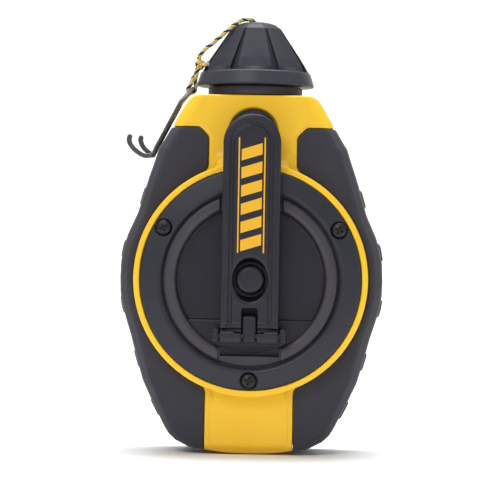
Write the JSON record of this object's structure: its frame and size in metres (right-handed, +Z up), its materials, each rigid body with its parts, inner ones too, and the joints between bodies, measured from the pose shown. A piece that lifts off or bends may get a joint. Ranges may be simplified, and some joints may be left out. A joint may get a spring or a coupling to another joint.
{
  "type": "chalk line reel",
  "caption": "Hand chalk line reel with rubber grips, folding geared crank, clutch button, fluted nose cap, and a braided line with hook.",
  "frame": {"origin": "on the flat base, below the drum's axis", "axes": "+Z up through the nose, +Y to the back, -Y faces the crank"},
  "size_m": [0.1084, 0.0599, 0.1814],
  "materials": {
    "yellow_case": "satin moulded",
    "grip_rubber": "soft matt",
    "black_plastic": "fine moulded grain",
    "gear_plastic": "satin",
    "plated_steel": "zinc plated",
    "dark_steel": "black oxide",
    "felt": "pressed felt",
    "braid": "braided"
  },
  "bodies": {
    "case": {"front_housing": "yellow_case", "rear_housing": "yellow_case", "front_left_grip": "grip_rubber", "front_right_grip": "grip_rubber", "rear_left_grip": "grip_rubber", "rear_right_grip": "grip_rubber", "scoop_pad": "grip_rubber", "neck_collar": "black_plastic", "neck_seal": "grip_rubber", "gear_cover": "black_plastic", "cover_screw_1": "dark_steel", "cover_screw_2": "dark_steel", "cover_screw_3": "dark_steel", "case_screw_1": "dark_steel", "case_screw_2": "dark_steel", "case_screw_3": "dark_steel", "case_screw_4": "dark_steel", "gear_plate": "plated_steel", "planet_pin_1": "plated_steel", "planet_pin_2": "plated_steel", "planet_pin_3": "plated_steel", "spool_axle": "plated_steel", "spool_seal": "felt", "spool_washer": "plated_steel", "line_inside": "braid"},
    "crank": {"crank_disc": "black_plastic", "ring_gear": "gear_plastic", "hinge_pin": "dark_steel", "clutch_spring": "plated_steel"},
    "arm": {"crank_arm": "black_plastic", "knob_axle": "plated_steel"},
    "knob": {"handle_knob": "black_plastic"},
    "clutch": {"clutch_button": "black_plastic", "button_clip": "plated_steel"},
    "spool": {"spool": "black_plastic", "line_winding": "braid", "sun_gear": "gear_plastic"},
    "planet_1": {"planet_gear_1": "gear_plastic"},
    "planet_2": {"planet_gear_2": "gear_plastic"},
    "planet_3": {"planet_gear_3": "gear_plastic"},
    "line_end": {"felt_wiper": "felt", "chalk_line": "braid", "line_knot": "braid", "hook": "plated_steel"},
    "cap": {"nose_cap": "black_plastic"}
  },
  "joints": [
    {"name": "crank_turn", "type": "hinge", "parent": "case", "child": "crank", "pos_m": [0, -0.018, 0.072], "axis": [0, 1, 0], "continuous": true},
    {"name": "crank_fold", "type": "hinge", "parent": "crank", "child": "arm", "pos_m": [0, -0.0255, 0.049], "axis": [1, 0, 0], "range_deg": [0, 180]},
    {"name": "knob_spin", "type": "hinge", "parent": "arm", "child": "knob", "pos_m": [0, -0.019, 0.1285], "axis": [0, 1, 0], "continuous": true},
    {"name": "clutch_press", "type": "slide", "parent": "crank", "child": "clutch", "axis": [0, 1, 0], "range_m": [0, 0.002], "stiffness_N_per_m": 400, "deforming": ["clutch_spring"]},
    {"name": "spool_spin", "type": "hinge", "parent": "case", "child": "spool", "pos_m": [0, 0.008, 0.072], "axis": [0, 1, 0], "continuous": true},
    {"name": "planet_1_spin", "type": "hinge", "parent": "case", "child": "planet_1", "pos_m": [0, -0.011, 0.09], "axis": [0, 1, 0], "continuous": true},
    {"name": "planet_2_spin", "type": "hinge", "parent": "case", "child": "planet_2", "pos_m": [-0.01559, -0.011, 0.063], "axis": [0, 1, 0], "continuous": true},
    {"name": "planet_3_spin", "type": "hinge", "parent": "case", "child": "planet_3", "pos_m": [0.01559, -0.011, 0.063], "axis": [0, 1, 0], "continuous": true},
    {"name": "cap_lift", "type": "slide", "parent": "case", "child": "line_end", "axis": [0, 0, 1], "range_m": [0, 0.035]},
    {"name": "cap_turn", "type": "hinge", "parent": "line_end", "child": "cap", "pos_m": [0, 0.007, 0.165], "axis": [0, 0, 1], "range_deg": [0, 90]}
  ],
  "couplings": [
    {"joint": "spool_spin", "follows": "crank_turn", "ratio": -3},
    {"joint": "planet_1_spin", "follows": "crank_turn", "ratio": 3},
    {"joint": "planet_2_spin", "follows": "crank_turn", "ratio": 3},
    {"joint": "planet_3_spin", "follows": "crank_turn", "ratio": 3}
  ]
}
